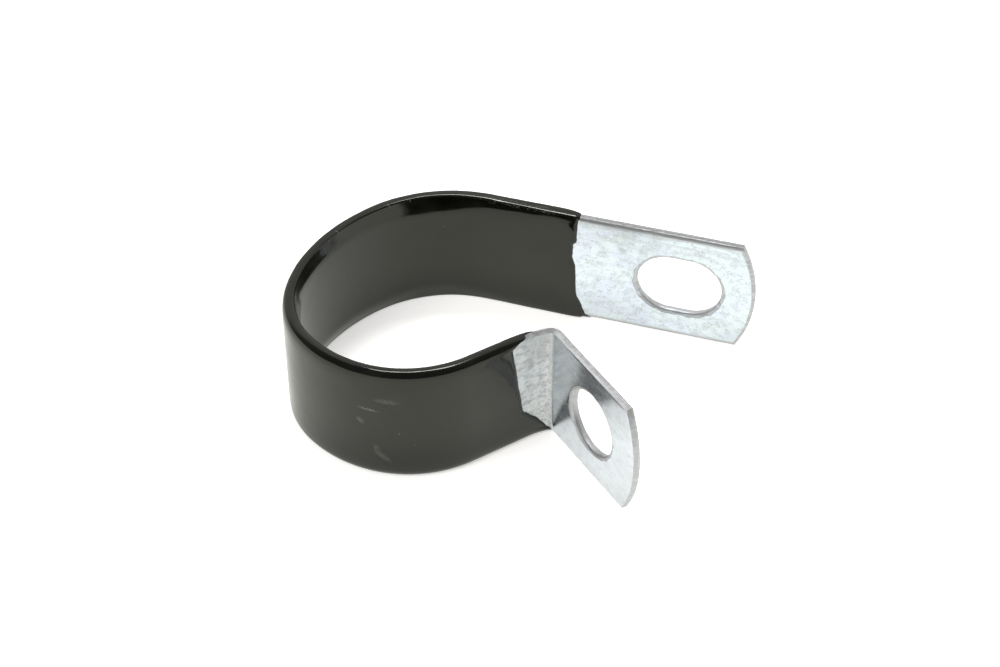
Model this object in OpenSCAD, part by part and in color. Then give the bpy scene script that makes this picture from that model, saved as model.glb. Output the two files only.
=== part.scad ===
// P clip for cable, hose or pipe: one zinc-plated steel strip bent to an open loop,
// with a dipped vinyl coat over the loop and the start of both legs.
// Units: millimetres. The clip stands on the long edge of its coat.
// +X along the long leg towards its slotted end, +Z across the strip.
// Origin: middle of the bounding box at its base.

/* [Strip] */
// Width of the steel strip
strip_w = 12.7; // [9.5:0.1:25.4]
// Thickness of the steel strip
strip_t = 0.8; // [0.5:0.05:1.6]

/* [Loop] */
// Loop radius beside the long leg, at mid thickness
crown_r = 13.1; // [10:0.1:20]
// Turn of that arc
crown_a = 51; // [30:1:70]
// Radius of the flatter far side
side_r = 18.2; // [12:0.1:26]
// Turn of the far side
side_a = 44; // [25:1:60]
// Radius of the tight corner below the far side
corner_r = 9.3; // [7:0.1:14]
// Turn of the tight corner
corner_a = 50; // [30:1:70]
// Radius of the belly
belly_r = 12.3; // [9:0.1:18]
// Turn of the belly
belly_a = 31; // [15:1:50]
// Radius of the arc that rises to the short leg
rise_r = 11.1; // [8:0.1:16]
// Turn of that arc
rise_a = 53; // [35:1:70]

/* [Legs] */
// Long leg, from the loop to the corners of its end
long_l = 25.8; // [20:0.1:40]
// Short leg, from the loop to its foot
short_l = 6.5; // [4:0.1:12]
// Radius of the easy bend at the foot, at mid thickness
foot_r = 5.6; // [4:0.1:10]
// Turn of the easy bend
foot_a = 20; // [10:1:30]
// Inside radius of the sharp bend
bend_in_r = 0.5; // [0.5:0.05:1.5]
// Turn of the sharp bend
bend_a = 71; // [55:1:90]
// Short tab, from the sharp bend to the corners of its end
tab_l = 11.9; // [10:0.1:20]
// Radius of the arc that ends both tabs
tab_end_r = 13.4; // [10:0.1:30]

/* [Holes] */
// Diameter of the round hole and width of the slot
hole_d = 6.7; // [4:0.1:9]
// Slot length, end to end
slot_l = 8.6; // [5:0.1:14]
// Slot centre to the tip of the long leg
slot_edge = 7.7; // [5:0.1:12]
// Hole centre to the tip of the short tab
hole_edge = 7.2; // [5:0.1:12]

/* [Coat] */
// Coat thickness on every side of the strip
coat_t = 0.3; // [0.2:0.05:0.45]
// Bare strip on the long leg, from the corners of its end
long_bare = 16.2; // [12:0.1:25]
// Coat carried past the sharp bend, along the lower edge
coat_over = 0.9; // [0:0.1:2]
// How far the dip line leans across the short leg
lean_a = 65; // [40:1:75]

/* [Hidden] */
$fn = 96;
coated_t = strip_t + 2*coat_t;
coated_w = strip_w + 2*coat_t;
tab_sag = tab_end_r - sqrt(pow(tab_end_r, 2) - pow(strip_w/2, 2));
through = 4*strip_t;    // length of a cut that goes through a tab
dip_lead = 2;           // coat kept past each dip line's mean, for the line to cut
dip_reach = 12;         // size of the solids that cut along a dip line

// Runs of the middle line, as [length, 0], or [radius at mid thickness, turn] with a left
// turn over zero
loop = [[crown_r, crown_a], [side_r, side_a], [corner_r, corner_a], [belly_r, belly_a],
        [rise_r, rise_a]];
foot = [[foot_r, -foot_a], [bend_in_r + strip_t/2, -bend_a]];
bent = concat(loop, [[short_l, 0]], foot);

// Dip lines, where the coat stops: [distance from the mean, height as a part of the coated
// width]. On the short leg the coat creeps round the sharp bend along the lower edge.
long_dip = [[0.6, 1.05], [0.5, 0.95], [0.1, 0.71], [-0.2, 0.69], [-0.3, 0.56], [0, 0.44],
            [0, 0.18], [0.9, 0.05], [1.4, -0.05]];
short_dip = [[-0.17, 1.05], [-0.23, 0.92], [0.2, 0.35], [0.26, 0.28], [1.1, 0.16],
             [1.8, 0.06], [2.3, -0.05]];

// Place and heading at the end of a run, from [x, y, heading]
function step(p, s) = s[1] == 0
    ? [p[0] + s[0]*cos(p[2]), p[1] + s[0]*sin(p[2]), p[2]]
    : let (k = sign(s[1]), q = p[2] + s[1])
      [p[0] - k*s[0]*(sin(p[2]) - sin(q)), p[1] + k*s[0]*(cos(p[2]) - cos(q)), q];

// Stations along a list of runs: one at each end of a straight, and every few degrees of a bend
function stations(p, runs, i = 0) = i == len(runs) ? [p] :
    let (s = runs[i], n = s[1] == 0 ? 1 : ceil(abs(s[1])/(s[0] < 3 ? 9 : 4)))
    concat([for (k = [0 : n - 1]) k == 0 ? p : step(p, [s[0], s[1]*k/n])],
           stations(step(p, s), runs, i + 1));
function end_of(v) = v[len(v) - 1];

// A station's point, moved to the left of the heading
function beside(p, d) = [p[0] - d*sin(p[2]), p[1] + d*cos(p[2])];
function outline(v, w) = concat([for (p = v) beside(p, w/2)],
    [for (i = [len(v) - 1 : -1 : 0]) beside(v[i], -w/2)]);

// The strip starts at the tip of the long leg and ends at the tip of the short tab
start_a = 180;           // heading there, against +X
start = [0, 0, start_a];
tab_at = end_of(stations(start, concat([[long_l, 0]], bent)));
tab_end = step(tab_at, [tab_l, 0]);
foot_at = end_of(stations(start, concat([[long_l, 0]], loop, [[short_l, 0]])));
strip_line = stations(step(start, [-tab_sag, 0]),
                      concat([[long_l + tab_sag, 0]], bent, [[tab_l + tab_sag, 0]]));
coat_from = long_bare - dip_lead;
coat_line = stations(step(start, [coat_from, 0]),
                     concat([[long_l - coat_from, 0]], bent, [[coat_over, 0]]));

// The part is centred on its own outline
plan = concat(outline(strip_line, strip_t), outline(coat_line, coated_t));
mid_x = (min([for (p = plan) p[0]]) + max([for (p = plan) p[0]]))/2;
mid_y = (min([for (p = plan) p[1]]) + max([for (p = plan) p[1]]))/2;

// Puts children at a place and heading on the middle line, at mid height
module at(p) {
    translate([p[0] - mid_x, p[1] - mid_y, coated_w/2]) rotate([0, 0, p[2]]) children();
}

// Cuts the end of a tab to its arc, from the line of its corners
module end_cut() {
    difference() {
        translate([-tab_sag, -through, -strip_w])
            cube([3*tab_sag, 2*through, 2*strip_w]);
        translate([tab_sag - tab_end_r, 0, 0]) rotate([90, 0, 0])
            cylinder(r = tab_end_r, h = 3*through, center = true);
    }
}

// Round hole, or a slot if it is longer than it is wide, through a tab
module hole_cut(l, edge) {
    travel = l - hole_d;
    translate([tab_sag - edge, 0, 0]) rotate([90, 0, 0]) {
        for (k = travel > 0 ? [-1, 1] : [0])
            translate([k*travel/2, 0, 0]) cylinder(d = hole_d, h = through, center = true);
        if (travel > 0) cube([travel, hole_d, through], center = true);
    }
}

// The strip before its holes, which is also the hollow of the coat
module strip_body() {
    translate([-mid_x, -mid_y, coat_t]) linear_extrude(strip_w)
        polygon(outline(strip_line, strip_t));
}

module steel_strip() {
    color([0.78, 0.8, 0.82])
    difference() {
        strip_body();
        at(start) rotate([0, 0, 180]) end_cut();
        at(start) rotate([0, 0, 180]) hole_cut(slot_l, slot_edge);
        at(tab_end) end_cut();
        at(tab_end) hole_cut(hole_d, hole_edge);
    }
}

// The coat over the whole of its line, with full round edges, as rings carried along it
module coat_body() {
    r = coated_t/2;
    flat = coated_w/2 - r;
    ring = concat([for (a = [0 : 30 : 180]) [r*cos(a), flat + r*sin(a)]],
                  [for (a = [180 : 30 : 360]) [r*cos(a), r*sin(a) - flat]]);
    n = len(ring);
    last = len(coat_line) - 1;
    points = [for (p = coat_line, q = ring)
        [beside(p, q[0])[0] - mid_x, beside(p, q[0])[1] - mid_y, coated_w/2 + q[1]]];
    walls = [for (i = [0 : last - 1], j = [0 : n - 1])
        [i*n + j, i*n + (j + 1) % n, (i + 1)*n + (j + 1) % n, (i + 1)*n + j]];
    caps = [[for (j = [n - 1 : -1 : 0]) j], [for (j = [0 : n - 1]) last*n + j]];
    polyhedron(points, concat(walls, caps));
}

// What a dip line leaves bare: everything past it, along +X
module bare_cut(dip, reach) {
    rotate([90, 0, 0]) linear_extrude(2*dip_reach, center = true)
        polygon(concat([for (p = dip) [p[0], (p[1] - 0.5)*coated_w]],
                       [[reach, -0.55*coated_w], [reach, 0.55*coated_w]]));
}

module vinyl_coat() {
    color([0.05, 0.05, 0.05])
    difference() {
        coat_body();
        strip_body();
        at(step(start, [long_bare, 0])) rotate([0, 0, 180]) bare_cut(long_dip, 2*dip_lead);
        at(foot_at) rotate([0, 0, -lean_a]) bare_cut(short_dip, dip_reach);
    }
}

steel_strip();
vinyl_coat();
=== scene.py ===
import bpy
import math
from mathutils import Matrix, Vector, noise


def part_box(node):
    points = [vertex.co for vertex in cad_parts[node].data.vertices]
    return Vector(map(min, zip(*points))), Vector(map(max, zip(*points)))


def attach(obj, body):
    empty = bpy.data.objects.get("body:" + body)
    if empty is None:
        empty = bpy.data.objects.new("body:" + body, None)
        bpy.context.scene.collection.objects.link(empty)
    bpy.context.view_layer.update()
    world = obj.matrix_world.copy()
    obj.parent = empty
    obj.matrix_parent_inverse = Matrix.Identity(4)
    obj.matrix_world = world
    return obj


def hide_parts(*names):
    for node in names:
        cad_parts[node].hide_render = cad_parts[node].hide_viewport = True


# a P clip: one bent strip of zinc-plated steel in a dipped vinyl coat
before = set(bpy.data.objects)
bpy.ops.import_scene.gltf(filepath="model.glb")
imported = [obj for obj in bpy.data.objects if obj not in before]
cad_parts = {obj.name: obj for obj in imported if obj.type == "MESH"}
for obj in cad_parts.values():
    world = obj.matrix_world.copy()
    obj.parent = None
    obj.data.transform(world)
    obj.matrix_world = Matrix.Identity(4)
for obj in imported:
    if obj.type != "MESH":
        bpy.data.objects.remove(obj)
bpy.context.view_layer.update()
mm = 0.001

stripLow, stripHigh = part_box("steel_strip")


# camera, looking down on the clip with its open side to the right

cameraView = {
    "aim": (-1.63, 1.69, 6.35),  # mm, a point inside the loop at mid height
    "azimuth": 16.73,
    "elevation": 42.26,
    "distance": 214.9,  # mm
    "lens": 79.57,
    "nearest": 0.01,  # m, nothing closer than this is drawn
}


def makeCamera():
    cameraData = bpy.data.cameras.new("clipCamera")
    cameraData.lens = cameraView["lens"]
    cameraData.clip_start = cameraView["nearest"]
    camera = bpy.data.objects.new("clipCamera", cameraData)
    bpy.context.scene.collection.objects.link(camera)
    turn = math.radians(cameraView["azimuth"])
    rise = math.radians(cameraView["elevation"])
    back = Vector((math.sin(turn) * math.cos(rise), -math.cos(turn) * math.cos(rise), math.sin(rise)))
    camera.location = (Vector(cameraView["aim"]) + back * cameraView["distance"]) * mm
    camera.rotation_euler = (-back).to_track_quat("-Z", "Y").to_euler()
    bpy.context.scene.camera = camera


makeCamera()
print("camera set")


# the bent line: the flat blank is drawn as (along, side, height) in mm and laid on this line

bentLine = {
    "thick": 0.8,
    "width": 12.7,
    "tipRadius": 13.4,  # arc that ends both tabs
    # a run is (length, 0) or (radius at mid thickness, turn in degrees, left turns over zero)
    "longLeg": (25.8, 0),
    "loop": [(13.1, 51), (18.2, 44), (9.3, 50), (12.3, 31), (11.1, 53)],
    "shortLeg": (6.5, 0),
    "foot": (5.6, -20),
    "bend": (0.9, -71),
    "shortTab": (11.9, 0),
}

halfThick = bentLine["thick"] / 2
halfWidth = bentLine["width"] / 2
tipSag = bentLine["tipRadius"] - math.sqrt(bentLine["tipRadius"] ** 2 - halfWidth ** 2)
midHeight = (stripLow.z + stripHigh.z) / 2 / mm
stripTop = midHeight + halfWidth
stripBottom = midHeight - halfWidth


def stepAlong(place, run, share):
    # place and heading after a share of one run
    x, y, heading = place
    if run[1] == 0:
        return x + run[0] * share * math.cos(heading), y + run[0] * share * math.sin(heading), heading
    side = math.copysign(1, run[1])
    turned = heading + math.radians(run[1]) * share
    return (x - side * run[0] * (math.sin(heading) - math.sin(turned)),
            y + side * run[0] * (math.cos(heading) - math.cos(turned)), turned)


def runLength(run):
    return run[0] if run[1] == 0 else run[0] * math.radians(abs(run[1]))


def placeRuns():
    # (how far along a run starts, its place and heading there, the run) for each, and the whole length
    place = (stripHigh.x / mm - tipSag, stripHigh.y / mm - halfThick, math.pi)
    along = 0.0
    starts = []
    for run in [bentLine["longLeg"], *bentLine["loop"], bentLine["shortLeg"],
                bentLine["foot"], bentLine["bend"], bentLine["shortTab"]]:
        starts.append((along, place, run))
        place = stepAlong(place, run, 1)
        along += runLength(run)
    return starts, along


runStarts, lineEnd = placeRuns()  # the line ends at the corners of the short tab
loopRuns = runStarts[1:-4]
loopStart = loopRuns[0][0]
shortLegStart, footStart, bendStart, tabStart = (start for start, _, _ in runStarts[-4:])


def onLine(s):
    # place and heading at a length along the line
    start, place, run = runStarts[0]
    for entry in runStarts:
        if entry[0] <= s:
            start, place, run = entry
    return stepAlong(place, run, (s - start) / runLength(run))


def laid(s, side, height):
    # side is measured from mid thickness towards the inside of the loop, height from the floor
    x, y, heading = onLine(s)
    return Vector((x - side * math.sin(heading), y + side * math.cos(heading), height)) * mm


def smooth(t):
    t = min(max(t, 0), 1)
    return t * t * (3 - 2 * t)


def mix(a, b, t):
    return a + (b - a) * t


def within(s, stops):
    # grows over the first two stops and fades over the last two
    a, b, c, d = stops
    return smooth((s - a) / (b - a)) * smooth((d - s) / (d - c))


def waver(x, y, z):
    return noise.noise(Vector((x, y, z)))


class Blank:
    # points in blank coordinates, with the marks that the materials read

    def __init__(self):
        self.flat = []
        self.marks = []
        self.faces = []

    def point(self, s, side, height, mark=0.0):
        self.flat.append((s, side, height))
        self.marks.append(mark)
        return len(self.flat) - 1

    def stitch(self, ringA, ringB):
        count = len(ringA)
        for i in range(count):
            j = (i + 1) % count
            self.faces.append((ringA[i], ringA[j], ringB[j], ringB[i]))

    def toObject(self, name, sharpAngle):
        mesh = bpy.data.meshes.new(name)
        mesh.from_pydata([laid(*p) for p in self.flat], [], self.faces)
        mesh.validate()
        mesh.attributes.new("blank", "FLOAT_VECTOR", "POINT")
        mesh.attributes["blank"].data.foreach_set("vector", [c for p in self.flat for c in p])
        mesh.attributes.new("cut", "FLOAT", "POINT")
        mesh.attributes["cut"].data.foreach_set("value", self.marks)
        piece = bpy.data.objects.new(name, mesh)
        bpy.context.scene.collection.objects.link(piece)
        bpy.context.view_layer.objects.active = piece
        piece.select_set(True)
        bpy.ops.object.mode_set(mode="EDIT")
        bpy.ops.mesh.select_all(action="SELECT")
        bpy.ops.mesh.normals_make_consistent(inside=False)
        bpy.ops.object.mode_set(mode="OBJECT")
        bpy.ops.object.shade_smooth_by_angle(angle=math.radians(sharpAngle))
        piece.select_set(False)
        return piece


# steel strip: a blanked strip with rolled-over edges and two pierced holes, then bent

steelStrip = {
    "holeRadius": 3.35,
    "slotTravel": 1.9,
    "slotToTip": 7.7,
    "holeToTip": 7.2,
    # how finely it is meshed: columns of each tab, rows across, and the step in mm along the other runs
    "longTabColumns": 40,
    "shortTabColumns": 42,
    "rows": 36,
    "steps": {"longLeg": 0.4, "loop": 0.6, "shortLeg": 0.45, "foot": 0.22, "bend": 0.07},
    "follow": 1.35,  # how soon the columns near a tip take on its arc
    "straightShare": 0.26,  # share of the short tab, by the bend, whose columns stay straight
    "windowLength": 10.9,  # part of each tab that is meshed in rings round its hole
    "windowHeight": 10.4,
    "windowRings": 5,
    # sheared edge from the inner face to the outer one: (inset, depth, how much it is cut metal)
    "edge": [(0.42, 0.0, 0.0), (0.32, 0.006, 0.7), (0.23, 0.018, 1.0), (0.15, 0.04, 1.0), (0.08, 0.08, 1.0),
             (0.03, 0.13, 1.0), (0.005, 0.19, 1.0), (0.0, 0.25, 0.7), (0.0, 0.34, 0.7), (0.01, 0.37, 1.0),
             (0.03, 0.40, 1.0), (0.04, 0.60, 1.0), (0.045, 0.72, 1.0), (0.065, 0.785, 0.8), (0.10, 0.8, 0.2)],
    # pierced wall of a hole, from the face that the punch went in: (larger than the hole, depth, cut)
    "pierce": [(0.46, 0.0, 0.0), (0.40, 0.004, 0.5), (0.35, 0.022, 0.9), (0.28, 0.045, 0.7),
               (0.19, 0.075, 0.6), (0.10, 0.12, 0.8), (0.04, 0.17, 1.0), (0.005, 0.23, 1.0),
               (0.0, 0.30, 0.9), (0.0, 0.48, 0.9), (0.01, 0.51, 1.0), (0.03, 0.54, 0.9),
               (0.045, 0.74, 0.9), (0.065, 0.785, 0.8), (0.10, 0.8, 0.2)],
    "ripple": 0.004,  # unevenness of the faces
    "edgeWander": 0.012,  # unevenness of the sheared edge
    "torn": 0.16,  # unevenness of the rolled-over ring round each hole
    "tornGrowth": 3.5,  # how fast that grows, per mm outside the hole, up to its full amount
    # under the coat the strip is drawn a little slimmer, so that it never shows through
    "covered": (18.0, 19.5, 79.0, 80.4),
    "slimmer": (0.05, 0.035),  # thinner and narrower by these shares
    "sharpAngle": 40,
}


def stripColumns():
    # (place at mid height, how much the column follows the tip arc, which tip it belongs to)
    steps = steelStrip["steps"]
    columns = []

    def straight(start, end, step):
        count = max(1, round((end - start) / step))
        return [(mix(start, end, i / count), 0.0, 0) for i in range(count)]

    windowEnd = steelStrip["slotToTip"] - tipSag + steelStrip["windowLength"] / 2
    tabEnd = windowEnd + steps["longLeg"]
    count = steelStrip["longTabColumns"]
    for i in range(count + 1):
        t = i / count
        columns.append((mix(-tipSag, tabEnd, t), smooth(1 - t * steelStrip["follow"]), -1))
    columns += straight(tabEnd, loopStart, steps["longLeg"])[1:]
    for start, _, run in loopRuns:
        columns += straight(start, start + runLength(run), steps["loop"])
    columns += straight(shortLegStart, footStart, steps["shortLeg"])
    columns += straight(footStart, bendStart, steps["foot"])
    columns += straight(bendStart, tabStart, steps["bend"])
    count = steelStrip["shortTabColumns"]
    for i in range(count + 1):
        t = i / count
        follow = smooth((t - steelStrip["straightShare"]) * steelStrip["follow"])
        columns.append((mix(tabStart, lineEnd + tipSag, t), follow, 1))
    return columns


def makeStrip():
    blank = Blank()
    columns = stripColumns()
    rows = [i / steelStrip["rows"] * 2 - 1 for i in range(steelStrip["rows"] + 1)]
    last = len(columns) - 1
    top = len(rows) - 1
    longTabEnd = columns[steelStrip["longTabColumns"]][0]
    shortTip = lineEnd + tipSag
    edge = steelStrip["edge"]
    pierce = steelStrip["pierce"]

    def flatPlace(i, j, inset):
        # place along and up the blank, with the outline drawn in by the inset
        s, follow, tip = columns[i]
        height = rows[j] * (halfWidth - inset)
        radius = bentLine["tipRadius"] - inset
        drop = radius - math.sqrt(radius ** 2 - height ** 2)
        if tip < 0:
            reach = (longTabEnd - s) / (longTabEnd + tipSag)
            s += inset * reach + follow * drop
        if tip > 0:
            reach = (s - tabStart) / (shortTip - tabStart)
            s -= inset * reach + follow * drop
        return s, height

    def ripple(s, height, face):
        slow = waver(s * 0.45, height * 0.45, face * 7)
        return steelStrip["ripple"] * (slow + 0.4 * waver(s * 1.3, height * 1.1, face * 3))

    def tucked(s, side, height):
        # the same point of the strip, drawn in where the coat covers it
        hidden = within(s, steelStrip["covered"])
        thinner, narrower = steelStrip["slimmer"]
        return side * (1 - thinner * hidden), midHeight + height * (1 - narrower * hidden)

    # each hole as (tip, centre, window), the window by its first and last column and row
    holes = []
    for tip, centre in ((-1, steelStrip["slotToTip"] - tipSag), (1, shortTip - steelStrip["holeToTip"])):
        across = [i for i, column in enumerate(columns)
                  if column[2] == tip and abs(column[0] - centre) <= steelStrip["windowLength"] / 2]
        up = [j for j, row in enumerate(rows) if abs(row) * halfWidth <= steelStrip["windowHeight"] / 2]
        holes.append((tip, centre, (across[0], across[-1], up[0], up[-1])))

    def cellInWindow(i, j):
        return any(left <= i < right and low <= j < high for _, _, (left, right, low, high) in holes)

    def pointInWindow(i, j):
        return any(left < i < right and low < j < high for _, _, (left, right, low, high) in holes)

    def faceGrid(face, side, rim):
        # one face of the blank, open where the rings of the holes go
        inset, _, rimCut = rim
        grid = {}
        for i in range(last + 1):
            for j in range(top + 1):
                if not pointInWindow(i, j):
                    s, height = flatPlace(i, j, inset)
                    onRim = i in (0, last) or j in (0, top)
                    lift = 0 if onRim else ripple(s, height, face)
                    grid[i, j] = blank.point(s, *tucked(s, side + lift, height), rimCut if onRim else 0)
        for i in range(last):
            for j in range(top):
                if not cellInWindow(i, j):
                    blank.faces.append((grid[i, j], grid[i + 1, j], grid[i + 1, j + 1], grid[i, j + 1]))
        return grid

    inner = faceGrid(0, halfThick, edge[0])
    outer = faceGrid(1, -halfThick, edge[-1])

    def around(left, right, low, high):
        return ([(i, low) for i in range(left, right)] + [(right, j) for j in range(low, high)]
                + [(i, high) for i in range(right, left, -1)] + [(left, j) for j in range(high, low, -1)])

    # the sheared edge, ring by ring round the whole outline
    outline = around(0, last, 0, top)
    ring = [inner[p] for p in outline]
    for inset, depth, cut in edge[1:-1]:
        layer = []
        for i, j in outline:
            s, height = flatPlace(i, j, inset)
            wander = steelStrip["edgeWander"] * (0.5 + waver(s * 0.9, height * 0.9, depth * 2.5))
            s, height = flatPlace(i, j, inset + max(0, wander) * min(1, depth * 5))
            layer.append(blank.point(s, *tucked(s, halfThick - depth, height), cut))
        blank.stitch(ring, layer)
        ring = layer
    blank.stitch(ring, [outer[p] for p in outline])

    # each hole: rings from its window to the rim, the pierced wall, and out to the window behind
    for tip, centre, bounds in holes:
        window = around(*bounds)
        travel = steelStrip["slotTravel"] / 2 if tip < 0 else 0
        # the punch went in from the face that is seen from the front
        entry = (inner, 0, edge[0][0]) if tip < 0 else (outer, 1, edge[-1][0])
        leave = (outer, 1, edge[-1][0]) if tip < 0 else (inner, 0, edge[0][0])
        into = -tip

        def holePlace(p, larger):
            s, height = flatPlace(*p, edge[0][0])
            axis = centre + min(max(s - centre, -travel), travel)
            away = math.hypot(s - axis, height)
            reach = steelStrip["holeRadius"] + larger
            return axis + (s - axis) / away * reach, height / away * reach

        def windowRings(face, inset, side, larger):
            # rings between the window and the rim on one face
            rings = []
            for k in range(1, steelStrip["windowRings"]):
                t = k / steelStrip["windowRings"]
                points = []
                for p in window:
                    s0, height0 = flatPlace(*p, inset)
                    s1, height1 = holePlace(p, larger)
                    s, height = mix(s0, s1, t), mix(height0, height1, t)
                    lifted = side + ripple(s, height, face) * (1 - t)
                    points.append(blank.point(s, lifted, midHeight + height))
                rings.append(points)
            return rings

        ring = [entry[0][p] for p in window]
        for layer in windowRings(entry[1], entry[2], halfThick * into, pierce[0][0]):
            blank.stitch(ring, layer)
            ring = layer
        for larger, depth, cut in pierce:
            ragged = steelStrip["torn"] * min(1, larger * steelStrip["tornGrowth"])
            layer = []
            for p in window:
                s, height = holePlace(p, larger)
                torn = ragged * waver(s * 1.3, height * 1.3, 5 + tip)
                frayed = ragged * 0.5 * waver(s * 3.7, height * 3.7, 9 + tip)
                s, height = holePlace(p, max(0, larger + torn + frayed))
                layer.append(blank.point(s, (halfThick - depth) * into, midHeight + height, cut))
            blank.stitch(ring, layer)
            ring = layer
        for layer in reversed(windowRings(leave[1], leave[2], -halfThick * into, pierce[-1][0])):
            blank.stitch(ring, layer)
            ring = layer
        blank.stitch(ring, [leave[0][p] for p in window])

    return blank.toObject("steelStrip", steelStrip["sharpAngle"])


strip = makeStrip()
print("steel strip:", len(strip.data.polygons), "faces")


# vinyl coat: a sleeve with rounded edges, thinner towards them, and a wandering dip line at each end

vinylCoat = {
    "coat": 0.3,
    # how finely it is meshed: steps round each rim, across each face, along, at the foot and in the hollow
    "rimSteps": 28,
    "faceSteps": 38,
    "along": 0.4,
    "footSteps": 24,
    "hollowSteps": 70,
    # stations as lengths from either dip line, and where the even ones begin and end before loop and foot
    "lipSteps": [0, 0.02, 0.05, 0.09, 0.14, 0.2, 0.27, 0.36, 0.47, 0.6, 0.78, 1.0, 1.3, 1.7, 2.2, 2.7],
    "evenBeforeLoop": 5.5,
    "evenBeforeFoot": 5.3,
    "faceEnd": 5.6,  # height over mid width where the faces pass into the rims
    # how the coat ran, on the (inner, outer) side of the loop: height where a face starts to lean in,
    # its slope, height where the rim's cap starts, and how square the cap is
    "backShape": ((4.3, 0.22, 6.15, 0.82), (5.0, 0.03, 6.25, 0.80)),
    "frontShape": ((4.6, 0.04, 6.20, 0.70), (5.0, 0.12, 5.75, 0.52)),
    "shapeChange": (48, 57),  # places along where the back shape gives way to the front one
    # along the inner face: (place, how much higher it starts to lean in, how many times the slope)
    "innerLean": [(16, 1.5, 1.0), (19, 1.4, 1.0), (22.4, 1.0, 1.0), (26.5, 0.7, 1.0), (29.7, 0.1, 1.0),
                  (33, 0.0, 1.0), (37, 0.45, 1.4), (48, 0.4, 1.4), (54, 0.0, 1.0), (90, 0.0, 1.0)],
    "leanEase": 1.0,  # height over which a face takes on its slope
    "capFoot": 0.2,  # share of a rim's steps below its cap
    "hollowSquare": 0.3,  # how square the steel's corners are in the hollow, squarer towards 0
    "faceLip": 0.5,  # length over which the coat thins to its edge
    "rimLip": 2.6,
    "lipShare": 0.14,  # share of the thickness that is left there
    "rimLipLess": 0.6,  # and how much less of it by the rims
    "byRim": (4.8, 1.4),  # height where the rims' own lip and sag begin, and over what height they grow
    "sag": (0.06, 0.14),  # unevenness as a share of the thickness, on the faces and by the rims
    "dipWander": (0.05, 0.03),  # small slow and quick wandering of the dip lines
    # dip line on the long leg as (height, distance back from the loop), inner face then outer face
    "longInner": [(13.3, 9.4), (12.2, 9.2), (9.9, 9.12), (9.55, 8.8), (7.9, 8.74), (6.6, 9.08),
                  (3.2, 9.2), (1.5, 9.88), (0.2, 10.6), (0.0, 10.8)],
    "longOuter": [(13.3, 9.3), (10.0, 9.05), (6.0, 9.4), (2.5, 10.0), (0.0, 10.8)],
    # and on the short leg as (height, distance past the start of the foot)
    "shortOuter": [(13.3, -1.85), (12.6, -2.1), (8.3, -1.53), (5.0, -1.06), (4.1, -0.94), (3.2, -0.15),
                   (2.2, 0.9), (1.0, 1.75), (0.0, 2.6)],
    "shortInner": [(13.3, 1.0), (10.0, 1.25), (6.0, 1.5), (3.0, 2.1), (0.0, 3.0)],
    "sharpAngle": 50,
}

coatSide = halfThick + vinylCoat["coat"]
coatTop = halfWidth + vinylCoat["coat"]


def dipLineAt(line, height):
    # place of a dip line at a height, eased between its points
    points = vinylCoat[line]
    for (height0, s0), (height1, s1) in zip(points, points[1:]):
        if height1 <= height <= height0:
            share = (height - height1) / (height0 - height1)
            return mix(s1, s0, (smooth(share) + share) / 2)
    return points[0][1] if height > points[0][0] else points[-1][1]


def leaning(height, shape):
    # distance of a face from mid thickness, and how fast it falls there
    ease = vinylCoat["leanEase"]
    past = max(0, abs(height) - shape[0])
    if past < ease:
        return coatSide - shape[1] * past ** 2 / (2 * ease), shape[1] * past / ease
    return coatSide - shape[1] * (past - ease / 2), shape[1]


def rimPoint(share, shape):
    # from the end of a face, where share is 0, to the crown of the rim
    foot = vinylCoat["capFoot"]
    if share < foot:
        height = mix(vinylCoat["faceEnd"], shape[2], share / foot)
        return leaning(height, shape)[0], height
    side, fall = leaning(shape[2], shape)
    rise = (coatTop - shape[2]) * shape[3]
    t = (share - foot) / (1 - foot)
    weights = ((1 - t) ** 3, 3 * (1 - t) ** 2 * t, 3 * (1 - t) * t ** 2, t ** 3)
    sides = (side, side - fall * rise, side * shape[3], 0)
    heights = (shape[2], shape[2] + rise, coatTop, coatTop)
    return sum(w * v for w, v in zip(weights, sides)), sum(w * v for w, v in zip(weights, heights))


def shapeAt(s, face):
    # how the coat ran there on one side, 1 the inner one
    back, front = (vinylCoat[key][0 if face > 0 else 1] for key in ("backShape", "frontShape"))
    changeStart, changeEnd = vinylCoat["shapeChange"]
    share = smooth((s - changeStart) / (changeEnd - changeStart))
    start, slope, capStart, square = (mix(a, b, share) for a, b in zip(back, front))
    if face > 0:
        leans = vinylCoat["innerLean"]
        for (s0, higher0, times0), (s1, higher1, times1) in zip(leans, leans[1:]):
            if s0 <= s <= s1:
                t = (s - s0) / (s1 - s0)
                return start + mix(higher0, higher1, t), slope * mix(times0, times1, t), capStart, square
    return start, slope, capStart, square


def coatPoint(s, face, rim, value):
    # side and height of the coat's surface
    shape = shapeAt(s, face)
    if rim == 0:
        return leaning(value, shape)[0] * face, value
    side, height = rimPoint(value, shape)
    return side * face, height * rim


def coatSection():
    # each point as (face, rim or 0, its height or share of the rim), then the side and height of
    # the steel under it, and its share towards the outer face
    section = []
    rimSteps, faceSteps, faceEnd = vinylCoat["rimSteps"], vinylCoat["faceSteps"], vinylCoat["faceEnd"]

    def squared(c):
        return math.copysign(abs(c) ** vinylCoat["hollowSquare"], c)

    for half in (1, -1):
        for i in range(faceSteps):
            height = mix(-faceEnd, faceEnd, i / faceSteps) * half
            section.append((half, 0, height, halfThick * half, height, (1 - half) / 2))
        for i in range(rimSteps):
            turn = i / rimSteps
            face = half if turn < 0.5 else -half
            share = 1 - abs(1 - 2 * turn)
            angle = share * math.pi / 2
            section.append((face, half, share, halfThick * squared(math.cos(angle)) * face,
                            (faceEnd + (halfWidth - faceEnd) * squared(math.sin(angle))) * half,
                            turn if half > 0 else 1 - turn))
    return section


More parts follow.
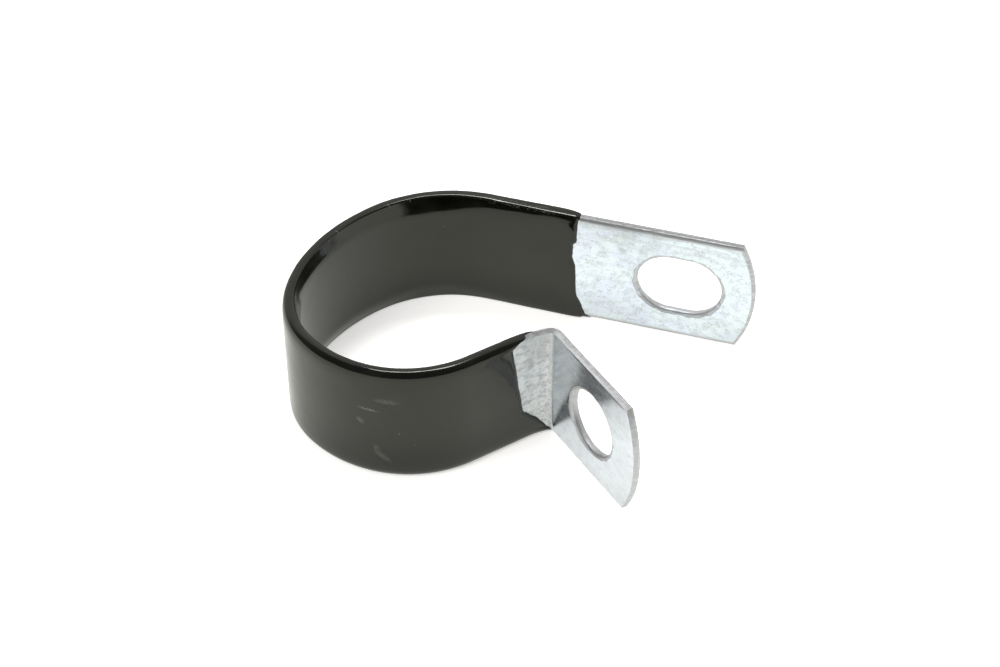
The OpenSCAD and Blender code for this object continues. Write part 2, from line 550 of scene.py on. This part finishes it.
def coatThickness(s, start, end, side, height):
    # share of the full thickness at a point, for the dip lines' places at its height
    near = min(s - start, end - s)
    rimStart, rimOver = vinylCoat["byRim"]
    byRim = smooth((abs(height) - rimStart) / rimOver)
    grown = min(1, near / mix(vinylCoat["faceLip"], vinylCoat["rimLip"], byRim))
    left = vinylCoat["lipShare"] * (1 - vinylCoat["rimLipLess"] * byRim)
    lip = mix(left, 1, math.sqrt(1 - (1 - grown) ** 2))
    slow = 0.5 + 0.5 * waver(s * 0.35, height * 0.5, side * 3)
    uneven = mix(*vinylCoat["sag"], byRim) * (slow + 0.3 * waver(s * 1.1, height * 0.9, side * 5))
    return lip * (1 - max(0, uneven))


def makeCoat():
    blank = Blank()
    section = coatSection()
    slowWander, quickWander = vinylCoat["dipWander"]
    starts, ends = [], []
    for face, rim, value, _, _, share in section:
        up = coatPoint(loopStart, face, rim, value)[1] + midHeight
        small = slowWander * waver(up * 2.1, share * 3, 11) + quickWander * waver(up * 5.3, share * 3, 4)
        starts.append(loopStart + small - mix(dipLineAt("longInner", up), dipLineAt("longOuter", up), share))
        ends.append(footStart + small + mix(dipLineAt("shortInner", up), dipLineAt("shortOuter", up), share))

    rings = []

    def addRing(placeOf):
        # placeOf(k) gives the place along for section point k
        ring = []
        for k, (face, rim, value, steelSide, steelHeight, _) in enumerate(section):
            s = placeOf(k)
            side, height = coatPoint(s, face, rim, value)
            t = coatThickness(s, starts[k], ends[k], side, height)
            ring.append(blank.point(s, mix(steelSide, side, t), midHeight + mix(steelHeight, height, t)))
        rings.append(ring)

    # fine steps in from one dip line, even ones round the loop, and fine ones out to the other
    lipSteps, footSteps = vinylCoat["lipSteps"], vinylCoat["footSteps"]
    evenStart = loopStart - vinylCoat["evenBeforeLoop"]
    evenEnd = footStart - vinylCoat["evenBeforeFoot"]
    count = round((evenEnd - evenStart) / vinylCoat["along"])
    for step in lipSteps:
        addRing(lambda k: starts[k] + step)
    for i in range(count + 1):
        addRing(lambda k: mix(evenStart, evenEnd, i / count))
    for i in range(1, footSteps):
        addRing(lambda k: mix(evenEnd, ends[k] - lipSteps[-1], i / footSteps))
    for step in reversed(lipSteps):
        addRing(lambda k: ends[k] - step)

    # the hollow, coarser, joined to both lips
    hollow = []
    hollowSteps = vinylCoat["hollowSteps"]
    for i in range(hollowSteps + 1):
        hollow.append([blank.point(mix(starts[k], ends[k], i / hollowSteps), side, midHeight + height)
                       for k, (_, _, _, side, height, _) in enumerate(section)])
    for ringA, ringB in zip(rings, rings[1:]):
        blank.stitch(ringA, ringB)
    blank.stitch(rings[-1], hollow[-1])
    for ringA, ringB in zip(hollow[::-1], hollow[-2::-1]):
        blank.stitch(ringA, ringB)
    blank.stitch(hollow[0], rings[0])
    return blank.toObject("vinylCoat", vinylCoat["sharpAngle"])


coat = makeCoat()
print("vinyl coat:", len(coat.data.polygons), "faces")


# materials

class Nodes:
    # short calls for building a node tree

    def __init__(self, name, world=False):
        self.owner = bpy.data.worlds.new(name) if world else bpy.data.materials.new(name)
        self.owner.use_nodes = True
        self.tree = self.owner.node_tree
        self.tree.nodes.clear()

    def add(self, kind, inputs=None, **settings):
        node = self.tree.nodes.new(kind)
        for key, value in settings.items():
            setattr(node, key, value)
        for key, value in (inputs or {}).items():
            self.put(node.inputs[key], value)
        return node

    def put(self, socket, value):
        if isinstance(value, bpy.types.NodeSocket):
            self.tree.links.new(value, socket)
        else:
            socket.default_value = value

    def math(self, operation, *values):
        return self.add("ShaderNodeMath", dict(enumerate(values)), operation=operation).outputs[0]

    def chained(self, operation, values):
        result = values[0]
        for value in values[1:]:
            result = self.math(operation, result, value)
        return result

    def times(self, *values):
        return self.chained("MULTIPLY", values)

    def plus(self, *values):
        return self.chained("ADD", values)

    def most(self, *values):
        return self.chained("MAXIMUM", values)

    def minus(self, a, b):
        return self.math("SUBTRACT", a, b)

    def away(self, value, middle):
        return self.math("ABSOLUTE", self.minus(value, middle))

    def shaken(self, value, pattern, amount):
        # a value moved up and down by a noise
        return self.plus(value, self.times(self.minus(pattern, 0.5), amount))

    def range(self, value, low, high, toLow=0.0, toHigh=1.0):
        node = self.add("ShaderNodeMapRange", {"Value": value, "From Min": low, "From Max": high,
                                               "To Min": toLow, "To Max": toHigh},
                        interpolation_type="SMOOTHSTEP")
        return node.outputs[0]

    def within(self, value, stops):
        # grows over the first two stops and fades over the last two
        a, b, c, d = stops
        return self.times(self.range(value, a, b), self.range(value, c, d, 1.0, 0.0))

    def noises(self, vector, recipes):
        # each turned in the plane of the blank, in degrees, and then scaled
        made = {}
        for name, (stretch, turn, size, detail, roughness) in recipes.items():
            node = self.add("ShaderNodeMapping", {"Vector": vector, "Rotation": (0, math.radians(turn), 0)})
            node = self.add("ShaderNodeMapping", {"Vector": node.outputs[0], "Scale": stretch})
            node = self.add("ShaderNodeTexNoise", {"Vector": node.outputs[0], "Scale": size,
                                                   "Detail": detail, "Roughness": roughness})
            made[name] = node.outputs["Fac"]
        return made

    def lines(self, pattern, width):
        # thin bent lines, where a noise passes its middle value
        return self.range(self.away(pattern, 0.5), 0.0, width, 1.0, 0.0)

    def spot(self, vector, place, size, turn):
        # 1 in the middle of a patch at (along, height), 0 at its edge, the same at every side
        anySide = 1e4
        node = self.add("ShaderNodeMapping", {"Vector": vector, "Location": (place[0], 0, place[1]),
                                              "Rotation": (0, math.radians(turn), 0),
                                              "Scale": (size[0], anySide, size[1])}, vector_type="TEXTURE")
        far = self.add("ShaderNodeVectorMath", {0: node.outputs[0]}, operation="LENGTH").outputs["Value"]
        return self.range(far, 0.2, 1.0, 1.0, 0.0)

    def split(self, vector):
        return self.add("ShaderNodeSeparateXYZ", {0: vector}).outputs

    def colours(self, factor, a, b):
        # 6 and 7 are the colour sockets of the node, and 2 is its colour output
        node = self.add("ShaderNodeMix", {0: factor}, data_type="RGBA")
        self.put(node.inputs[6], a)
        self.put(node.inputs[7], b)
        return node.outputs[2]

    def mark(self, name, output="Vector"):
        return self.add("ShaderNodeAttribute", attribute_name=name).outputs[output]


bumpDepth = 0.02 * mm

zinc = {
    "pale": (0.82, 0.91, 0.96, 1),
    "blue": (0.78, 0.85, 0.96, 1),
    "polished": (0.69, 0.71, 0.76, 1),
    "grey": (0.60, 0.64, 0.66, 1),
    "vein": (0.42, 0.445, 0.46, 1),
    "cutMetal": (0.56, 0.56, 0.565, 1),
    "bendGrey": (0.76, 0.775, 0.78, 1),
    # dark tone of the bend's mottle, and the painted shade in its crease
    "bendMottleAndCreaseShade": (0.40, 0.415, 0.43, 1),
    # painted shade along the top of the strip
    "paintedTopShade": (0.35, 0.35, 0.355, 1),
    # painted shade for the corner of the bend
    "paintedShade": (0.50, 0.53, 0.56, 1),
    # colour of the scratches, and of the painted highlight line
    "scratchAndHighlight": (0.88, 0.89, 0.87, 1),
    "metallic": 0.88,
    "roughness": (0.20, 0.30),
    "bentRoughness": 0.40,
    "shortTabRoughness": 0.17,
    "cutRoughness": 0.60,
    "bump": 0.10,
    # how strongly each mark shows: of the plating, and the painted shade, shadow and highlight
    "patches": 0.8,
    "veins": 0.7,
    "streaks": 0.75,
    "polish": 0.55,
    "bendShades": (0.8, 0.55),  # mottled, and slow clouds
    # strength of the painted shade in the crease
    "creaseShade": 0.8,
    # strength of the painted highlight line
    "paintedHighlightLine": 0.5,
    # strength of the painted shadow along the lower edge
    "paintedLowShadow": 0.9,
    # strength of the painted shade along the rolled upper edge
    "paintedRolledShade": 0.7,
    # mm past the start of the foot: where the duller metal begins, and its painted highlight line
    "dullStart": (-2.3, -1.5),
    "paintedHighlightAt": 0.55,
    # mm past the start of the sharp bend: where the duller metal ends, the painted shade of the crease, the
    # polished tab and the painted shade in its corner
    "dullEnd": (0.6, 0.9),
    "creaseAt": 0.38,
    "polishStart": (0.1, 0.6),
    "cornerShade": (2.5, 7.0),
    # name: (scale along, side and height), turn in degrees, size, detail, roughness
    "patterns": {
        "cloud": ((0.35, 1, 0.6), 0, 1.0, 3.0, 0.55),
        "patch": ((0.9, 1, 1.2), 0, 1.3, 5.0, 0.62),
        "crumb": ((1.3, 1, 1.6), 15, 2.0, 4.0, 0.6),
        "broken": ((0.8, 1, 0.8), 20, 1.7, 3.0, 0.5),
        "streak": ((0.28, 1, 3.2), 2, 1.0, 4.0, 0.65),
        # of the bend
        "dull": ((1.0, 1, 0.6), 0, 0.9, 3.0, 0.5),
        "mottle": ((0.9, 1, 1.7), 8, 1.3, 6.0, 0.6),
        "slow": ((0.45, 1, 0.7), 4, 1.0, 2.0, 0.5),
        "rising": ((2.4, 1, 0.7), 30, 1.5, 3.0, 0.5),
        "falling": ((2.4, 1, 0.8), -58, 1.5, 3.0, 0.5),
        "level": ((0.6, 1, 3.4), 4, 1.5, 3.0, 0.5),
        "wander": ((0.1, 1, 0.9), 0, 1.3, 3.0, 0.5),
    },
    "scratchWidth": 0.03,
}


def zincFaces(n, along, height, pattern, smoothTab):
    # soft patches of the plating, with thin grey veins between them
    colour = n.colours(n.range(pattern["cloud"], 0.40, 0.62), zinc["pale"], zinc["blue"])
    colour = n.colours(n.range(pattern["patch"], 0.48, 0.72, 0, zinc["patches"]), colour, zinc["grey"])
    vein = n.most(n.lines(pattern["patch"], 0.03), n.times(n.lines(pattern["crumb"], 0.035), 0.8))
    vein = n.times(vein, n.range(pattern["broken"], 0.46, 0.62), zinc["veins"])
    colour = n.colours(vein, colour, zinc["vein"])
    # rolling streaks, stronger towards the long edges and towards the top
    nearEdge = n.range(n.away(height, midHeight + 0.8), 1.8, 5.4)
    upper = n.range(height, midHeight - 2, midHeight + 3, 0.15, 1.0)
    streaks = n.times(n.range(pattern["streak"], 0.42, 0.64), nearEdge, upper, zinc["streaks"])
    colour = n.colours(streaks, colour, zinc["grey"])
    # the short tab is smoother, and has painted shade in the corner of the bend
    colour = n.colours(n.times(smoothTab, zinc["polish"]), colour, zinc["polished"])
    shadeFull, shadeEnd = (bendStart + past for past in zinc["cornerShade"])
    paintedCornerShade = n.times(n.range(along, shadeFull, shadeEnd, 0.85, 0.0),
                       n.range(height, midHeight - 2.5, midHeight + 1.5))
    return n.colours(n.times(smoothTab, paintedCornerShade), colour, zinc["paintedShade"])


def bendScratchesAndHighlight(n, along, height, pattern):
    # crossing scratches, fewer towards the top, and a painted highlight line where the bend starts
    rising, falling, level = (n.lines(pattern[name], zinc["scratchWidth"])
                              for name in ("rising", "falling", "level"))
    bendLines = n.most(rising, falling, n.times(level, 0.7))
    lower = n.range(height, midHeight - 3, midHeight + 4, 1.0, 0.45)
    # a painted highlight line across the bend
    off = n.away(n.shaken(along, pattern["wander"], 0.9), footStart + zinc["paintedHighlightAt"])
    paintedHighlight = n.times(n.range(off, 0.02, 0.34, zinc["paintedHighlightLine"], 0.0),
                     n.range(pattern["crumb"], 0.3, 0.55, 0.3, 1.0))
    return n.most(n.times(bendLines, lower), paintedHighlight)


def zincBend(n, along, pattern, colour, bent, bendLines):
    # the bend is stretched: duller, mottled and scratched, with painted shade in its crease and a painted
    # highlight line
    dull = n.range(pattern["dull"], 0.3, 0.7, 0.55, 1.0)
    colour = n.colours(n.times(bent, dull), colour, zinc["bendGrey"])
    mottled, clouded = zinc["bendShades"]
    shade = n.range(pattern["mottle"], 0.43, 0.62, 0.0, mottled)
    cloudy = n.range(pattern["slow"], 0.42, 0.62, 0.0, clouded)
    # painted shade along the crease
    paintedCreaseShade = n.range(n.away(along, bendStart + zinc["creaseAt"]), 0.3, 0.5, zinc["creaseShade"], 0.0)
    colour = n.colours(n.times(bent, n.most(shade, cloudy, paintedCreaseShade)), colour, zinc["bendMottleAndCreaseShade"])
    return n.colours(n.times(bent, bendLines), colour, zinc["scratchAndHighlight"])


def zincEdges(n, height, pattern, colour, smoothTab, worn):
    # painted shadow along the lower edge, painted shade along the rolled upper edge and on the top, and the
    # cut metal is duller than the faces
    onLongTab = n.minus(1.0, smoothTab)
    # painted shadow along the lower edge of the long tab
    lowPlace = n.shaken(height, pattern["patch"], 0.5)
    low = n.range(lowPlace, stripBottom + 0.3, stripBottom + 0.62, zinc["paintedLowShadow"], 0.0)
    colour = n.colours(n.times(low, onLongTab), colour, zinc["grey"])
    # painted shade along the rolled upper edge of the long tab
    highPlace = n.shaken(height, pattern["streak"], 0.8)
    rolledShade = n.range(highPlace, stripTop - 0.75, stripTop - 0.35, 0.0, zinc["paintedRolledShade"])
    colour = n.colours(n.times(rolledShade, onLongTab), colour, zinc["grey"])
    colour = n.colours(worn, colour, zinc["cutMetal"])
    # painted shade along the top of the strip, over its cut metal
    top = n.times(n.range(height, stripTop - 0.09, stripTop - 0.03),
                  n.range(pattern["crumb"], 0.35, 0.6, 0.5, 1.0))
    return n.colours(top, colour, zinc["paintedTopShade"])


def zincMaterial():
    n = Nodes("zincPassivated")
    blank = n.mark("blank")
    along, _, height = n.split(blank)
    pattern = n.noises(blank, zinc["patterns"])
    smoothTab = n.range(along, *(bendStart + past for past in zinc["polishStart"]))
    bent = n.within(along, [footStart + past for past in zinc["dullStart"]]
                    + [bendStart + past for past in zinc["dullEnd"]])
    worn = n.times(n.range(n.mark("cut", "Fac"), 0.1, 0.9), n.range(pattern["streak"], 0.3, 0.65, 0.6, 1.0))
    # the bend's scratches, with the painted highlight line
    bendLines = bendScratchesAndHighlight(n, along, height, pattern)
    colour = zincFaces(n, along, height, pattern, smoothTab)
    colour = zincBend(n, along, pattern, colour, bent, bendLines)
    colour = zincEdges(n, height, pattern, colour, smoothTab, worn)
    smoothest = zinc["roughness"][0]
    rough = n.plus(n.range(pattern["patch"], 0.35, 0.7, *zinc["roughness"]),
                   n.times(smoothTab, zinc["shortTabRoughness"] - smoothest),
                   n.times(bent, zinc["bentRoughness"] - smoothest),
                   n.times(worn, zinc["cutRoughness"] - smoothest))
    relief = n.plus(n.times(pattern["patch"], 0.7), n.times(bent, bendLines, 0.5))
    bump = n.add("ShaderNodeBump", {"Height": relief, "Strength": zinc["bump"], "Distance": bumpDepth})
    shader = n.add("ShaderNodeBsdfPrincipled", {"Base Color": colour, "Metallic": zinc["metallic"],
                                                "Roughness": rough, "Normal": bump.outputs[0]})
    n.add("ShaderNodeOutputMaterial", {"Surface": shader.outputs[0]})
    return n.owner


vinyl = {
    "black": (0.0032, 0.0032, 0.0024, 1),
    "dusty": (0.008, 0.008, 0.006, 1),
    "sheen": (0.99, 1.0, 0.91, 1),
    "scuffed": (0.17, 0.17, 0.16, 1),
    "roughness": (0.07, 0.15),
    "scuffRoughness": 0.3,  # more than that
    "refraction": 1.5,
    "bump": 0.10,
    # scuffs as (along, height), (length, width), turn in degrees, strength
    "outerScuffs": [((66.9, 8.6), (1.3, 0.20), 5, 0.75), ((66.1, 7.0), (0.6, 0.40), 50, 0.45),
                    ((68.0, 2.8), (1.4, 0.45), 42, 0.38), ((67.5, 3.7), (0.7, 0.35), 70, 0.32),
                    ((69.6, 5.9), (0.09, 0.09), 0, 1.0), ((71.0, 4.4), (0.10, 0.10), 0, 0.8),
                    ((69.9, 2.7), (0.07, 0.07), 0, 0.8), ((68.6, 9.9), (1.6, 0.40), 4, 0.35)],
    "innerScuffs": [((30.45, 9.6), (0.12, 0.10), 0, 0.6), ((40.9, 4.7), (0.22, 0.07), 60, 0.8),
                    ((38.6, 3.4), (0.3, 0.06), 30, 0.4)],
    # ticks across the upper rim, as (along, side, half length)
    "nicks": [(34.05, 0.30, 0.25), (36.3, 0.32, 0.3), (42.8, 0.25, 0.3), (19.2, 0.42, 0.2)],
    "nickSlant": 0.3,
    # the worn length of that rim, with scuffs that run along it
    "wornRim": (18.5, 20.5, 25.5, 27.5),
    "rimScuffs": 0.6,
    "rimHeight": (6.2, 6.4),  # over mid width, where the upper rim begins
    # name: (scale along, side and height), turn in degrees, size, detail, roughness
    "patterns": {
        "cloud": ((0.3, 1, 0.4), 0, 1.0, 4.0, 0.6),
        "fine": ((1.5, 1, 1.5), 0, 1.5, 4.0, 0.55),
        "speck": ((1, 1, 1), 0, 6.0, 2.0, 0.5),
        "thread": ((0.35, 2.2, 1.0), 3, 1.6, 4.0, 0.6),
    },
}


def vinylScuffs(n, blank, pattern):
    # how scuffed the coat is, from 0 to 1
    along, side, height = n.split(blank)
    scuffs = 0.0
    for scuffList, facing in ((vinyl["outerScuffs"], n.range(side, -0.3, -0.1, 1.0, 0.0)),
                              (vinyl["innerScuffs"], n.range(side, 0.1, 0.3))):
        for place, size, turn, strength in scuffList:
            scuffs = n.most(scuffs, n.times(n.spot(blank, place, size, turn), facing, strength))
    onRim = n.range(height, *(midHeight + up for up in vinyl["rimHeight"]))
    for place, middle, reach in vinyl["nicks"]:
        off = n.away(n.plus(along, n.times(side, vinyl["nickSlant"])), place)
        tick = n.times(n.range(off, 0.02, 0.08, 0.6, 0.0),
                       n.range(n.away(side, middle), reach * 0.6, reach, 1.0, 0.0))
        scuffs = n.most(scuffs, n.times(tick, onRim))
    threads = n.times(n.lines(pattern["thread"], 0.03), n.range(side, -0.15, 0.05))
    wornRim = n.times(n.within(along, vinyl["wornRim"]), onRim)
    scuffs = n.most(scuffs, n.times(threads, wornRim, vinyl["rimScuffs"]))
    return n.times(scuffs, n.range(pattern["speck"], 0.35, 0.6, 0.25, 1.0))


def vinylMaterial():
    n = Nodes("dippedVinyl")
    blank = n.mark("blank")
    pattern = n.noises(blank, vinyl["patterns"])
    scuffs = vinylScuffs(n, blank, pattern)
    colour = n.colours(n.range(pattern["cloud"], 0.35, 0.7), vinyl["black"], vinyl["dusty"])
    colour = n.colours(scuffs, colour, vinyl["scuffed"])
    rough = n.plus(n.range(pattern["cloud"], 0.3, 0.7, *vinyl["roughness"]),
                   n.times(scuffs, vinyl["scuffRoughness"]))
    bump = n.add("ShaderNodeBump", {"Height": pattern["fine"], "Strength": vinyl["bump"],
                                    "Distance": bumpDepth})
    shader = n.add("ShaderNodeBsdfPrincipled", {"Base Color": colour, "Roughness": rough,
                                                "IOR": vinyl["refraction"], "Specular Tint": vinyl["sheen"],
                                                "Normal": bump.outputs[0]})
    n.add("ShaderNodeOutputMaterial", {"Surface": shader.outputs[0]})
    return n.owner


for piece, material, node, slot in ((strip, zincMaterial(), "steel_strip", "zinc_plated_steel"),
                                    (coat, vinylMaterial(), "vinyl_coat", "black_vinyl")):
    piece.data.materials.append(material)
    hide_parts(node)
    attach(piece, "root")
print("materials set")


# studio: a white table in a dim room, one soft lamp above and behind that shows in reflections

studio = {
    "tableRadius": 0.7,
    "tableSteps": 96,
    # the table's white in reflections: the part that takes shadow, and the part that doesn't
    "shadowed": (0.48, 0.48, 0.45, 1),
    "steady": (1, 1, 0.95, 1),
    "steadyStrength": 0.66,
    # and the same as the camera sees it
    "seenShadowed": (0.95, 0.94, 0.91, 1),
    "seenSteady": (1, 0.99, 0.98, 1),
    "seenStrength": 0.5,
    "bounce": (0.8, 0.8, 0.79, 1),
    # the room's tone in front of the clip and behind it, and where one gives way to the other
    "front": (0.12, 0.12, 0.12, 1),
    "behind": (0.75, 0.75, 0.74, 1),
    "roomChange": (-0.15, 0.5),
    # name: size, place, watts, whether it shows in reflections
    "lamps": {
        "softLamp": ((0.20, 0.12), (-0.06, 0.174, 0.57), 1.6, True),
        "skyLamp": ((1.3, 1.3), (0.0, 0.0, 1.2), 3.0, False),
        "fillLamp": ((0.6, 0.6), (-0.35, -0.6, 0.7), 5.5, False),
    },
}


def tableMaterial():
    n = Nodes("whiteTable")
    path = n.add("ShaderNodeLightPath")

    def white(shadowed, steady, strength):
        diffuse = n.add("ShaderNodeBsdfDiffuse", {"Color": shadowed})
        glow = n.add("ShaderNodeEmission", {"Color": steady, "Strength": strength})
        return n.add("ShaderNodeAddShader", {0: diffuse.outputs[0], 1: glow.outputs[0]}).outputs[0]

    reflected = white(studio["shadowed"], studio["steady"], studio["steadyStrength"])
    seen = white(studio["seenShadowed"], studio["seenSteady"], studio["seenStrength"])
    mirror = n.most(path.outputs["Is Glossy Ray"], path.outputs["Is Transmission Ray"])
    bounce = n.add("ShaderNodeBsdfDiffuse", {"Color": studio["bounce"]})
    inside = n.add("ShaderNodeMixShader", {0: mirror, 1: bounce.outputs[0], 2: reflected})
    both = n.add("ShaderNodeMixShader", {0: path.outputs["Is Camera Ray"], 1: inside.outputs[0], 2: seen})
    n.add("ShaderNodeOutputMaterial", {"Surface": both.outputs[0]})
    return n.owner


def makeTable():
    steps = studio["tableSteps"]
    points = [(studio["tableRadius"] * math.cos(2 * math.pi * k / steps),
               studio["tableRadius"] * math.sin(2 * math.pi * k / steps), 0) for k in range(steps)]
    mesh = bpy.data.meshes.new("whiteTable")
    mesh.from_pydata(points, [], [list(range(steps))])
    table = bpy.data.objects.new("whiteTable", mesh)
    bpy.context.scene.collection.objects.link(table)
    table.data.materials.append(tableMaterial())


def makeLamp(name, size, at, power, shows):
    data = bpy.data.lights.new(name, "AREA")
    data.shape = "RECTANGLE"
    data.size, data.size_y = size
    data.energy = power
    lamp = bpy.data.objects.new(name, data)
    bpy.context.scene.collection.objects.link(lamp)
    lamp.location = at
    lamp.rotation_euler = (-Vector(at)).to_track_quat("-Z", "Y").to_euler()
    lamp.visible_glossy = shows


def makeWorld():
    n = Nodes("dimRoom", world=True)
    path = n.add("ShaderNodeLightPath")
    depth = n.split(n.add("ShaderNodeTexCoord").outputs["Generated"])["Y"]
    tone = n.colours(n.range(depth, *studio["roomChange"]), studio["front"], studio["behind"])
    room = n.add("ShaderNodeBackground", {"Color": tone, "Strength": 1.0})
    white = n.add("ShaderNodeBackground", {"Color": (1, 1, 1, 1), "Strength": 1.0})
    both = n.add("ShaderNodeMixShader", {0: path.outputs["Is Camera Ray"], 1: room.outputs[0],
                                         2: white.outputs[0]})
    n.add("ShaderNodeOutputWorld", {"Surface": both.outputs[0]})
    bpy.context.scene.world = n.owner


makeTable()
for lampName, (size, at, power, shows) in studio["lamps"].items():
    makeLamp(lampName, size, at, power, shows)
makeWorld()
bpy.context.scene.view_settings.view_transform = "Standard"
print("studio set")
